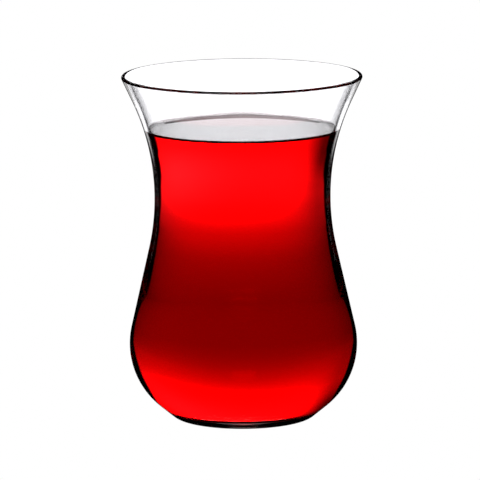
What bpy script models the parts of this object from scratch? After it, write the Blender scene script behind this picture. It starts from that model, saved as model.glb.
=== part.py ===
# Turkish tea glass: a thin tulip-shaped glass, filled with tea to just below its flare.
# Metres, +Z up. The origin is at the centre of the foot, on the surface that it stands on.
import math

import bpy

MM = 0.001

# The outer side is three straight runs, joined by arcs at the belly and at the waist.
HEIGHT = 85.0 * MM
RIM_RADIUS = 29.77 * MM
WAIST_RADIUS = 18.65 * MM
WAIST_HEIGHT = 61.3 * MM
WAIST_ARC = 56.6 * MM
BELLY_RADIUS = 30.2 * MM
BELLY_HEIGHT = 11.05 * MM
BELLY_ARC = 19.35 * MM
FOOT_RADIUS = 16.83 * MM
FOOT_ARC = 3.2 * MM

# The wall grows from the fire-polished lip down to a solid floor.
RIM_WALL = 1.0 * MM
WAIST_WALL = 1.6 * MM
BELLY_WALL = 2.0 * MM
FLOOR_THICKNESS = 3.1 * MM
FLOOR_RADIUS = 17.8 * MM
FLOOR_ARC = 7.0 * MM

# The underside is pressed up a little inside a flat foot ring.
RING_INNER_RADIUS = 12.4 * MM
UNDERSIDE_RISE = 0.9 * MM

# The tea, whose surface climbs the wall in a thin meniscus.
TEA_LEVEL = 71.5 * MM
MENISCUS_RISE = 0.7 * MM
MENISCUS_REACH = 0.9 * MM
TEA_GAP = 0.3 * MM

TURN_STEPS = 64
ARC_STEPS = 8
SMALL_ARC_STEPS = 3


def unit(dx, dz):
    length = math.hypot(dx, dz)
    return dx / length, dz / length


def rounded_line(corners):
    """Points of a line through (radius, height, arc, steps) corners, each with its arc."""
    points = [corners[0][:2]]
    for before, corner, after in zip(corners, corners[1:], corners[2:]):
        x, z, arc, steps = corner
        ux, uz = unit(before[0] - x, before[1] - z)
        vx, vz = unit(after[0] - x, after[1] - z)
        half_angle = math.acos(ux * vx + uz * vz) / 2
        reach = arc / math.tan(half_angle)
        mx, mz = unit(ux + vx, uz + vz)
        centre_x = x + mx * arc / math.sin(half_angle)
        centre_z = z + mz * arc / math.sin(half_angle)
        start = math.atan2(z + uz * reach - centre_z, x + ux * reach - centre_x)
        end = math.atan2(z + vz * reach - centre_z, x + vx * reach - centre_x)
        turn = (end - start + math.pi) % (2 * math.pi) - math.pi
        for step in range(steps + 1):
            angle = start + turn * step / steps
            points.append((centre_x + arc * math.cos(angle), centre_z + arc * math.sin(angle)))
    points.append(corners[-1][:2])
    return points


def inset_corner(before, corner, after, wall):
    """The corner, moved in by the wall's thickness, measured square to both runs."""
    ux, uz = unit(corner[0] - before[0], corner[1] - before[1])
    vx, vz = unit(after[0] - corner[0], after[1] - corner[1])
    mx, mz = unit(-uz - vz, ux + vx)
    move = wall / (mx * -uz + mz * ux)
    return corner[0] + mx * move, corner[1] + mz * move


def side_corners(gap):
    """Corners of the inner side from the floor's centre up to the rim, kept a gap off the glass."""
    foot = (FOOT_RADIUS, 0)
    belly = (BELLY_RADIUS, BELLY_HEIGHT)
    waist = (WAIST_RADIUS, WAIST_HEIGHT)
    rim = (RIM_RADIUS, HEIGHT)
    belly_in = inset_corner(foot, belly, waist, BELLY_WALL + gap)
    waist_in = inset_corner(belly, waist, rim, WAIST_WALL + gap)
    ux, uz = unit(rim[0] - waist[0], rim[1] - waist[1])
    rim_in = (rim[0] - (RIM_WALL + gap) / uz, HEIGHT)
    return [
        (0, FLOOR_THICKNESS + gap),
        (FLOOR_RADIUS - gap / 2, FLOOR_THICKNESS + gap, FLOOR_ARC, SMALL_ARC_STEPS),
        (*belly_in, BELLY_ARC - BELLY_WALL - gap, ARC_STEPS),
        (*waist_in, WAIST_ARC + WAIST_WALL + gap, ARC_STEPS),
        rim_in,
    ]


def radius_at(points, height):
    """Radius of a rising line of points at one height."""
    for (r0, z0), (r1, z1) in zip(points, points[1:]):
        if z0 <= height <= z1 and z1 > z0:
            return r0 + (r1 - r0) * (height - z0) / (z1 - z0)
    raise ValueError("height is off the line")


def glass_profile():
    """Inner side up from the floor's centre, over the lip, down the outer side to the underside."""
    inner = side_corners(0)
    lip = 0.499 * RIM_WALL
    rim_in_radius = inner[-1][0]
    corners = inner[:-1] + [
        (rim_in_radius, HEIGHT, lip, SMALL_ARC_STEPS),
        (RIM_RADIUS, HEIGHT, lip, SMALL_ARC_STEPS),
        (WAIST_RADIUS, WAIST_HEIGHT, WAIST_ARC, ARC_STEPS),
        (BELLY_RADIUS, BELLY_HEIGHT, BELLY_ARC, ARC_STEPS),
        (FOOT_RADIUS, 0, FOOT_ARC, SMALL_ARC_STEPS),
        (RING_INNER_RADIUS, 0),
    ]
    points = rounded_line(corners)
    for step in range(1, 5):
        share = 1 - step / 4
        points.append((RING_INNER_RADIUS * share, UNDERSIDE_RISE * (1 - share * share)))
    return points


def tea_profile():
    """Surface from its centre out to the wall, then down the wall to the centre of the floor."""
    side = rounded_line(side_corners(TEA_GAP))
    contact_height = TEA_LEVEL + MENISCUS_RISE
    contact_radius = radius_at(side, contact_height)
    points = [(0, TEA_LEVEL)]
    for away in (3.2, 1.6, 0.8, 0.35):
        rise = MENISCUS_RISE * math.exp(-away)
        points.append((contact_radius - away * MENISCUS_REACH, TEA_LEVEL + rise))
    points.append((contact_radius, contact_height))
    below = [point for point in side if point[1] < contact_height - 1 * MM]
    return points + below[::-1]


def turned(name, profile, collection):
    """A solid of revolution about Z, from a profile that runs down its outer side."""
    mesh = bpy.data.meshes.new(name)
    edges = [(i, i + 1) for i in range(len(profile) - 1)]
    mesh.from_pydata([(r, 0, z) for r, z in profile], edges, [])
    solid = bpy.data.objects.new(name, mesh)
    collection.objects.link(solid)
    screw = solid.modifiers.new("turn", "SCREW")
    screw.axis = "Z"
    screw.steps = TURN_STEPS
    screw.render_steps = TURN_STEPS
    screw.use_merge_vertices = True
    screw.merge_threshold = 0.00001
    screw.use_smooth_shade = True
    return solid


def clear_material(name, colour, ior):
    material = bpy.data.materials.new(name)
    material.use_nodes = True
    shader = material.node_tree.nodes["Principled BSDF"]
    shader.inputs["Base Color"].default_value = (*colour, 1)
    shader.inputs["Roughness"].default_value = 0.0
    shader.inputs["Metallic"].default_value = 0.0
    shader.inputs["IOR"].default_value = ior
    shader.inputs["Transmission Weight"].default_value = 1.0
    material.diffuse_color = (*colour, 0.4)
    return material


def build():
    for old in list(bpy.data.objects):
        bpy.data.objects.remove(old, do_unlink=True)
    parts = bpy.data.collections.new("turkish tea glass")
    bpy.context.scene.collection.children.link(parts)
    stand = bpy.data.objects.new("stand_point", None)
    parts.objects.link(stand)

    glass = turned("glass", glass_profile(), parts)
    glass.data.materials.append(clear_material("clear glass", (0.98, 1.0, 0.99), 1.5))
    glass.parent = stand

    tea = turned("tea", tea_profile(), parts)
    tea.data.materials.append(clear_material("red tea", (0.75, 0.004, 0.01), 1.333))
    tea.parent = stand


build()
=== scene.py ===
# Turkish tea glass: the looks of a tulip-shaped glass full of red tea, lit from behind as in a light tent.
import math

import bpy
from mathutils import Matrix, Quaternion, Vector


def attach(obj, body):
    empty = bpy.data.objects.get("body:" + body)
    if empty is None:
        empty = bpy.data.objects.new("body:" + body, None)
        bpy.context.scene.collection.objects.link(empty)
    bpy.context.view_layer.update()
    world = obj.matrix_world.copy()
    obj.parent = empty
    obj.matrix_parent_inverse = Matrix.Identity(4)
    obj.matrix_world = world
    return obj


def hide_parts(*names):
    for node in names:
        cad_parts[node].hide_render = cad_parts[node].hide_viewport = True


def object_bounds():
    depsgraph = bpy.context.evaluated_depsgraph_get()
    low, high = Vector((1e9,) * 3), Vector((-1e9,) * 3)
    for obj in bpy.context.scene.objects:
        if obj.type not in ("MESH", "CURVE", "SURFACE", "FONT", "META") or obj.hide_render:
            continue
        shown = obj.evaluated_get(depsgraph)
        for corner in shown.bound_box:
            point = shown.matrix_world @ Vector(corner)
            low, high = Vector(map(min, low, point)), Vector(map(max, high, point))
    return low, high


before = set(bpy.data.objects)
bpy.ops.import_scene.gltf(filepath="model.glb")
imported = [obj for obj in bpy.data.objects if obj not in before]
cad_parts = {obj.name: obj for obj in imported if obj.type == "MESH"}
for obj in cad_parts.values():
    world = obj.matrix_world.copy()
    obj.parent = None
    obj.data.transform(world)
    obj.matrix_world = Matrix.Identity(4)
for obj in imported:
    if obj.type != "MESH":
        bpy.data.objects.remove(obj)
cadLow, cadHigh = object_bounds()
mm = 0.001


# Outline of turned pieces: straight runs through corners, each corner rounded by its own arc

def unit(dx, dz):
    length = math.hypot(dx, dz)
    return dx / length, dz / length


def roundedLine(corners, stepAngle=1.5):  # corners are (radius, height, arc); stepAngle in degrees
    points = [corners[0][:2]]
    for before, corner, after in zip(corners, corners[1:], corners[2:]):
        x, z, arc = corner
        ux, uz = unit(before[0] - x, before[1] - z)
        vx, vz = unit(after[0] - x, after[1] - z)
        halfAngle = math.acos(ux * vx + uz * vz) / 2
        reach = arc / math.tan(halfAngle)
        mx, mz = unit(ux + vx, uz + vz)
        centreX = x + mx * arc / math.sin(halfAngle)
        centreZ = z + mz * arc / math.sin(halfAngle)
        start = math.atan2(z + uz * reach - centreZ, x + ux * reach - centreX)
        end = math.atan2(z + vz * reach - centreZ, x + vx * reach - centreX)
        turn = (end - start + math.pi) % math.tau - math.pi
        steps = max(4, math.ceil(math.degrees(abs(turn)) / stepAngle))
        for step in range(steps + 1):
            angle = start + turn * step / steps
            points.append((centreX + arc * math.cos(angle), centreZ + arc * math.sin(angle)))
    points.append(corners[-1][:2])
    return points


def insetCorner(before, corner, after, wall):  # the corner moved in by a wall, square to both runs
    ux, uz = unit(corner[0] - before[0], corner[1] - before[1])
    vx, vz = unit(after[0] - corner[0], after[1] - corner[1])
    mx, mz = unit(-uz - vz, ux + vx)
    move = wall / (mx * -uz + mz * ux)
    return corner[0] + mx * move, corner[1] + mz * move


def radiusAt(points, height):
    for (r0, z0), (r1, z1) in zip(points, points[1:]):
        if z0 <= height <= z1 and z1 > z0:
            return r0 + (r1 - r0) * (height - z0) / (z1 - z0)
    return points[-1][0]


def turned(name, profile, steps=256):  # the profile runs down the outer side of the solid
    closest = 0.001 * mm
    sharpAngle = 25  # degrees; a steeper edge isn't shaded smooth
    points, faces, rings = [], [], []
    before = (-1, 0)
    for radius, height in profile:
        if math.dist(before, (radius, height)) < closest:
            continue
        before = (radius, height)
        first = len(points)
        if radius < closest:
            points.append((0, 0, height))
            rings.append([first] * steps)
            continue
        for step in range(steps):
            angle = math.tau * step / steps
            points.append((radius * math.cos(angle), radius * math.sin(angle), height))
        rings.append(list(range(first, first + steps)))
    for upper, lower in zip(rings, rings[1:]):
        for i in range(steps):
            j = (i + 1) % steps
            corners = (upper[i], lower[i], lower[j], upper[j])
            faces.append(tuple(dict.fromkeys(corners)))
    mesh = bpy.data.meshes.new(name)
    mesh.from_pydata(points, [], faces)
    mesh.shade_smooth()
    mesh.set_sharp_from_angle(angle=math.radians(sharpAngle))
    piece = bpy.data.objects.new(name, mesh)
    bpy.context.scene.collection.objects.link(piece)
    return piece


# Shader maths: a Wire is a socket that takes part in Python sums

class Wire:
    def __init__(self, graph, socket):
        self.graph = graph
        self.socket = socket

    def math(self, operation, *others):
        return self.graph.add("ShaderNodeMath", {"operation": operation}, dict(enumerate((self, *others))))

    def __add__(self, other):
        return self.math("ADD", other)

    def __mul__(self, other):
        return self.math("MULTIPLY", other)

    def __sub__(self, other):
        return self.math("SUBTRACT", other)

    def __rsub__(self, other):
        return self.graph.add("ShaderNodeMath", {"operation": "SUBTRACT"}, {0: other, 1: self})

    def __truediv__(self, other):
        return self.math("DIVIDE", other)

    __radd__ = __add__
    __rmul__ = __mul__


class Graph:
    def __init__(self, owner):  # owner is a material or a world
        owner.use_nodes = True
        self.tree = owner.node_tree
        self.tree.nodes.clear()

    def node(self, kind, settings=None, values=None):
        made = self.tree.nodes.new(kind)
        for setting, value in (settings or {}).items():
            if setting == "stops":
                self.setStops(made.color_ramp, value)
            else:
                setattr(made, setting, value)
        for key, value in (values or {}).items():
            if isinstance(value, Wire):
                self.tree.links.new(value.socket, made.inputs[key])
            else:
                made.inputs[key].default_value = value
        return made

    def add(self, kind, settings=None, values=None, output=0):  # the same, and gives one output as a Wire
        return Wire(self, self.node(kind, settings, values).outputs[output])

    def wire(self, node, output):
        return Wire(self, node.outputs[output])

    def parts(self, vector):  # x, y and z of a vector
        node = self.node("ShaderNodeSeparateXYZ", values={0: vector})
        return [self.wire(node, axis) for axis in "XYZ"]

    def setStops(self, ramp, stops):  # stops are (position, grey)
        while len(ramp.elements) < len(stops):
            ramp.elements.new(1.0)
        for element, (position, grey) in zip(ramp.elements, stops):
            element.position = position
            element.color = (grey, grey, grey, 1)

    def step(self, value, low, high):  # smooth step from 0 at low to 1 at high
        settings = {"interpolation_type": "SMOOTHSTEP"}
        return self.add("ShaderNodeMapRange", settings, {"Value": value, "From Min": low, "From Max": high})

    def ramp(self, value, stops):
        return self.add("ShaderNodeValToRGB", {"stops": stops}, {"Fac": value})


# Glass body: one turned wall with a fire-polished lip, a thick floor and a raised underside

glassLook = {
    "rimRadius": 29.77 * mm,
    "waist": (18.65 * mm, 61.3 * mm, 56.6 * mm),  # radius, height and arc of the outer side's corner
    "belly": (30.2 * mm, 11.05 * mm, 19.35 * mm),
    "foot": (16.83 * mm, 0.0, 3.2 * mm),
    "rimWall": 1.0 * mm,
    "lipShare": 0.499,  # radius of the lip's two arcs, as a share of its wall
    "waistWall": 1.6 * mm,
    "bellyWall": 2.0 * mm,
    "floor": (17.8 * mm, 3.1 * mm, 7.0 * mm),  # radius, thickness and arc
    "ringInnerRadius": 12.4 * mm,
    "undersideRise": 0.9 * mm,
    "undersideSteps": 16,
    "ior": 1.5,
    "waveStrength": 0.008,  # faint unevenness of pressed glass
    "waveScale": 90.0,
}
glassHeight = cadHigh.z


# The inner side from the floor's centre to the rim; a negative gap reaches into the wall
def sideCorners(gap):
    look = glassLook
    rim = (look["rimRadius"], glassHeight)
    foot, belly, waist = look["foot"], look["belly"], look["waist"]
    bellyIn = insetCorner(foot, belly, waist, look["bellyWall"] + gap)
    waistIn = insetCorner(belly, waist, rim, look["waistWall"] + gap)
    ux, uz = unit(rim[0] - waist[0], rim[1] - waist[1])
    floorRadius, floorHeight, floorArc = look["floor"]
    return [
        (0, floorHeight + gap),
        (floorRadius - gap / 2, floorHeight + gap, floorArc),
        (*bellyIn, belly[2] - look["bellyWall"] - gap),
        (*waistIn, waist[2] + look["waistWall"] + gap),
        (rim[0] - (look["rimWall"] + gap) / uz, glassHeight),
    ]


def glassProfile():
    look = glassLook
    inner = sideCorners(0)
    lip = look["lipShare"] * look["rimWall"]
    ringRadius = look["ringInnerRadius"]
    corners = inner[:-1] + [
        (*inner[-1], lip),
        (look["rimRadius"], glassHeight, lip),
        look["waist"],
        look["belly"],
        look["foot"],
        (ringRadius, 0),
    ]
    points = roundedLine(corners)
    steps = look["undersideSteps"]
    for step in range(1, steps + 1):
        share = 1 - step / steps
        points.append((ringRadius * share, look["undersideRise"] * (1 - share * share)))
    return points


def glassFinish():
    look = glassLook
    material = bpy.data.materials.new("polishedGlass")
    graph = Graph(material)
    place = graph.add("ShaderNodeTexCoord", output="Object")
    waves = graph.add("ShaderNodeTexNoise", values={
        "Vector": place,
        "Scale": look["waveScale"],
        "Detail": 1.0,
    })
    bump = graph.add("ShaderNodeBump", values={
        "Height": waves,
        "Strength": look["waveStrength"],
        "Distance": mm,
    })
    shader = graph.add("ShaderNodeBsdfPrincipled", values={
        "Base Color": (1, 1, 1, 1),
        "Roughness": 0.0,
        "IOR": look["ior"],
        "Transmission Weight": 1.0,
        "Normal": bump,
    })
    graph.node("ShaderNodeOutputMaterial", values={"Surface": shader})
    return material


def makeGlass():
    piece = turned("glass_body", glassProfile())
    piece.data.materials.append(glassFinish())
    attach(piece, "root")
    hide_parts("glass")
    print("glass body made")


# Tea: fills the glass up to its level, and its side reaches just into the wall

teaLook = {
    "level": 71.55 * mm,
    "meniscusRise": 0.8 * mm,
    "meniscusReach": 0.5 * mm,
    "surfaceRings": 60,
    "intoWall": 0.12 * mm,
    "intoWallAtEdge": 0.02 * mm,  # at the surface's edge, so that the edge stays thin
    "edgeDepth": 0.9 * mm,  # the depth over which the one grows to the other
    "ior": 1.333,
    "absorption": (2.5, 190.0, 180.0),  # per metre, for red, green and blue
    "rippleStrength": 0.01,  # the surface is almost still
    "rippleScale": 60.0,
}


def teaProfile():
    look = teaLook
    side = roundedLine(sideCorners(-look["intoWall"]))
    contactHeight = look["level"] + look["meniscusRise"]
    edgeSide = roundedLine(sideCorners(-look["intoWallAtEdge"]))
    contactRadius = radiusAt(edgeSide, contactHeight)
    points = []
    rings = look["surfaceRings"]
    for ring in range(rings):
        share = ring / rings
        radius = contactRadius * (1 - (1 - share) ** 2)
        rise = look["meniscusRise"] * math.exp((radius - contactRadius) / look["meniscusReach"])
        points.append((radius, look["level"] + rise))
    points.append((contactRadius, contactHeight))
    below = [point for point in side if point[1] < contactHeight - look["edgeDepth"]]
    return points + below[::-1]


def teaFinish():
    look = teaLook
    material = bpy.data.materials.new("redTea")
    graph = Graph(material)
    place = graph.add("ShaderNodeTexCoord", output="Object")
    ripples = graph.add("ShaderNodeTexNoise", values={
        "Vector": place,
        "Scale": look["rippleScale"],
        "Detail": 1.0,
    })
    bump = graph.add("ShaderNodeBump", values={
        "Height": ripples,
        "Strength": look["rippleStrength"],
        "Distance": mm,
    })
    densest = max(look["absorption"])
    colour = [1 - share / densest for share in look["absorption"]]
    shader = graph.add("ShaderNodeBsdfPrincipled", values={
        "Base Color": (1, 1, 1, 1),
        "Roughness": 0.0,
        "IOR": look["ior"],
        "Transmission Weight": 1.0,
        "Normal": bump,
    })
    depth = graph.add("ShaderNodeVolumeAbsorption", values={"Color": (*colour, 1), "Density": densest})
    graph.node("ShaderNodeOutputMaterial", values={"Surface": shader, "Volume": depth})
    return material


def makeTea():
    piece = turned("tea_fill", teaProfile())
    piece.data.materials.append(teaFinish())
    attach(piece, "root")
    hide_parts("tea")
    print("tea made")


# Studio: the eye sees a white room, and rays through the glass see a sweep, dim low down and bright above

studio = {
    "panelLight": 1.8,
    # outline of the sweep, as radius and height in mm
    "sweep": ((0, 0.4), (86, 0.4), (94, 2), (101, 5), (110, 9), (120, 15), (130, 22), (140, 30), (150, 41),
              (150, 260)),
    "sweepLength": 400,
    # places along the sweep are radius plus height, in mm; the light there is a share of the panel's
    "lightAlong": ((0, 0.004), (49, 0.005), (56, 0.09), (70, 0.122), (79, 0.142), (91, 0.16), (102, 0.2),
                   (112, 0.265), (121, 0.345), (129, 0.42), (137, 0.51), (146, 0.62), (156, 0.72),
                   (166, 0.85), (176, 1.0), (256, 1.0), (285, 2.0), (340, 3.0)),
    # half of the panel's width, as a share of the widest half
    "widestHalf": 60,  # degrees
    "edgeAlong": ((0, 0.42), (58, 0.455), (66, 0.485), (71, 0.52), (77, 0.565), (82, 0.595), (90, 0.625),
                  (100, 0.65), (112, 0.67), (125, 0.65), (150, 0.625), (190, 0.605), (202, 0.56),
                  (214, 0.55), (224, 0.56), (230, 0.535), (300, 0.52)),
    "softEdge": 1.5,  # degrees
    "panelTop": (275, 300),  # places along the sweep between which its light ends
    # what the panel's darker side loses, and the azimuths over which that sets in
    "dimAlong": ((0, 0.2), (110, 0.22), (130, 0.43), (150, 0.56), (175, 0.63), (195, 0.66), (205, 0.78),
                 (214, 0.88), (225, 0.92), (238, 0.9), (250, 0.0)),
    "dimAcross": (-7.5, -29),
    # what its lighter side gains
    "gainAlong": ((0, 0.0), (52, 0.0), (60, 0.12), (90, 0.16), (120, 0.16), (140, 0.0)),
    "gainAcross": (0, 14),
    "lamp": {"azimuth": 7, "width": 16, "height": 56, "reach": 22, "light": 7.0},  # bright spot in the panel
    "around": (68, 76),  # azimuths from where the sweep is lit again, for views from other sides
    "tint": (0.99, 0.985, 1.02),
    # where on the sweep rays end that are mirrored inside one wall, or by the tea's surface
    "besideTea": (158, 172),
    "offSurface": (225, 235),
    "surfaceLight": 1.28,
    "insideLight": 0.06,  # share of light for rays that are mirrored inside the tea
    "tableRadius": 170 * mm,
    "tableDrop": 0.01 * mm,
    "floorSize": 6,
    "floorDrop": 0.02 * mm,
    # the world's panels, by azimuth and by upward direction: one over the glass, one low behind the flare
    "highPanel": {"across": (34, 38), "from": (0.3, 0.5)},
    "lowPanel": {"across": (24, 30), "from": (-0.5, -0.45), "to": (-0.22, -0.25)},
}


def showOnly(piece, *kinds):
    for kind in ("camera", "diffuse", "glossy", "transmission", "volume_scatter", "shadow"):
        setattr(piece, "visible_" + kind, kind in kinds)


def sweepFinish():
    look = studio
    material = bpy.data.materials.new("sweepLight")
    graph = Graph(material)
    here = graph.add("ShaderNodeTexCoord", output="Object")
    x, y, z = graph.parts(here)
    azimuth = x.math("ARCTAN2", y) * (180 / math.pi)
    height = z / mm
    along = (x * x + y * y).math("SQRT") / mm + height

    def ramped(name):
        length = look["sweepLength"]
        stops = [(position / length, grey) for position, grey in look[name]]
        return graph.ramp(along / length, stops)

    # the panel itself
    away = azimuth.math("ABSOLUTE")
    soft = look["softEdge"]
    panel = 1 - graph.step(away - ramped("edgeAlong") * look["widestHalf"], -soft, soft)
    around = graph.step(away, *look["around"])
    dim = ramped("dimAlong") * graph.step(azimuth, *look["dimAcross"]) * (1 - around)
    gain = ramped("gainAlong") * graph.step(azimuth, *look["gainAcross"]) * (1 - around) + 1
    lamp = look["lamp"]
    acrossLamp = (azimuth - lamp["azimuth"]) / lamp["width"]
    upLamp = (height - lamp["height"]) / lamp["reach"]
    glow = (0 - acrossLamp * acrossLamp - upLamp * upLamp).math("EXPONENT") * lamp["light"] + 1

    # what a ray has met: mirrored or not, and how many surfaces it went through, two for a wall
    rays = graph.node("ShaderNodeLightPath")
    bounced = graph.step(graph.wire(rays, "Glossy Depth"), 0.3, 0.7)
    crossed = graph.wire(rays, "Transmission Depth")
    oneWall = 1 - graph.step(crossed, 2.3, 2.7)
    twoWalls = 1 - graph.step(crossed, 4.3, 4.7)

    opening = panel.math("MAXIMUM", around * (1 - bounced)) * (1 - graph.step(along, *look["panelTop"]))
    inside = bounced * (1 - look["insideLight"])
    throughTea = (1 - twoWalls) * opening * (1 - dim) * gain * glow * (1 - inside)
    throughAir = twoWalls * (1 - bounced)
    besideTea = oneWall * graph.step(along, *look["besideTea"])
    offSurface = graph.step(along, *look["offSurface"]) * look["surfaceLight"]
    mirrored = twoWalls * bounced * panel * besideTea.math("MAXIMUM", offSurface)

    level = ramped("lightAlong") * look["panelLight"]
    light = level * throughTea.math("MAXIMUM", throughAir).math("MAXIMUM", mirrored)
    red, green, blue = look["tint"]
    white = graph.add("ShaderNodeCombineColor", values={0: light * red, 1: light * green, 2: light * blue})
    emit = graph.add("ShaderNodeEmission", values={"Color": white})
    graph.node("ShaderNodeOutputMaterial", values={"Surface": emit})
    return material


def makeSweep():
    outline = [(radius * mm, height * mm) for radius, height in studio["sweep"]]
    piece = turned("light_sweep", outline, steps=128)
    piece.data.materials.append(sweepFinish())
    showOnly(piece, "transmission")
    print("light sweep made")


def evenLight(name, grey):
    material = bpy.data.materials.new(name)
    graph = Graph(material)
    emit = graph.add("ShaderNodeEmission", values={"Color": (grey, grey, grey, 1), "Strength": 1.0})
    graph.node("ShaderNodeOutputMaterial", values={"Surface": emit})
    return material


def makeFloor():  # seen by the camera alone
    place = (0, 0, -studio["floorDrop"])
    bpy.ops.mesh.primitive_plane_add(size=studio["floorSize"], location=place)
    piece = bpy.context.object
    piece.name = "floor"
    piece.data.materials.append(evenLight("paleFloor", 1.0))
    showOnly(piece, "camera")
    print("floor made")


def makeDarkTable():  # seen in reflections alone
    radius = studio["tableRadius"]
    place = (0, 0, -studio["tableDrop"])
    bpy.ops.mesh.primitive_circle_add(vertices=128, radius=radius, fill_type="NGON", location=place)
    piece = bpy.context.object
    piece.name = "dark_table"
    piece.data.materials.append(evenLight("darkTable", 0.0))
    showOnly(piece, "glossy")
    print("dark table made")


def makeWorld():
    world = bpy.data.worlds.new("whiteRoom")
    bpy.context.scene.world = world
    graph = Graph(world)
    rays = graph.node("ShaderNodeLightPath")
    eye = graph.wire(rays, "Is Camera Ray")
    mirrored = graph.wire(rays, "Is Glossy Ray")
    x, y, up = graph.parts(graph.add("ShaderNodeTexCoord", output="Generated"))
    away = (x.math("ARCTAN2", y) * (180 / math.pi)).math("ABSOLUTE")
    highPanel, lowPanel = studio["highPanel"], studio["lowPanel"]
    high = (1 - graph.step(away, *highPanel["across"])) * graph.step(up, *highPanel["from"])
    low = (1 - graph.step(away, *lowPanel["across"])) * graph.step(up, *lowPanel["from"])
    panels = high * studio["panelLight"] + low * graph.step(up, *lowPanel["to"])
    light = eye + (1 - eye) * mirrored * panels
    background = graph.add("ShaderNodeBackground", values={"Color": (1, 1, 1, 1), "Strength": light})
    graph.node("ShaderNodeOutputWorld", values={"Surface": background})
    print("world made")


# Camera: the photograph's view, from a little above and far off

cameraLook = {
    "elevation": 9.964,  # degrees
    "distance": 1269.4 * mm,
    "aimHeight": 44.02 * mm,
    "aimSide": -0.69 * mm,
    "roll": -0.355,  # degrees
    "lens": 387.5,
    "sensor": 36.0,
    "clip": (0.05, 50.0),
}


def makeCamera():
    look = cameraLook
    tilt = math.radians(look["elevation"])
    back = Vector((0, -math.cos(tilt), math.sin(tilt)))
    data = bpy.data.cameras.new("camera")
    data.lens = look["lens"]
    data.sensor_width = look["sensor"]
    data.clip_start, data.clip_end = look["clip"]
    camera = bpy.data.objects.new("camera", data)
    camera.location = Vector((look["aimSide"], 0, look["aimHeight"])) + back * look["distance"]
    turn = (-back).to_track_quat("-Z", "Y").to_matrix().to_4x4()
    viewAxis = Vector((0, 0, 1))
    camera.rotation_mode = "QUATERNION"
    camera.rotation_quaternion = turn.to_quaternion() @ Quaternion(viewAxis, math.radians(look["roll"]))
    bpy.context.scene.collection.objects.link(camera)
    bpy.context.scene.camera = camera
    print("camera set")


def setRender():
    bounces = 128  # near the lip, light runs far inside the wall
    scene = bpy.context.scene
    scene.view_settings.view_transform = "Standard"
    scene.view_settings.look = "None"
    scene.cycles.max_bounces = bounces
    scene.cycles.transmission_bounces = bounces
    scene.cycles.glossy_bounces = bounces
    scene.cycles.caustics_reflective = True
    scene.cycles.caustics_refractive = True
    print("light paths set")


makeCamera()
makeGlass()
makeTea()
makeSweep()
makeFloor()
makeDarkTable()
makeWorld()
setRender()
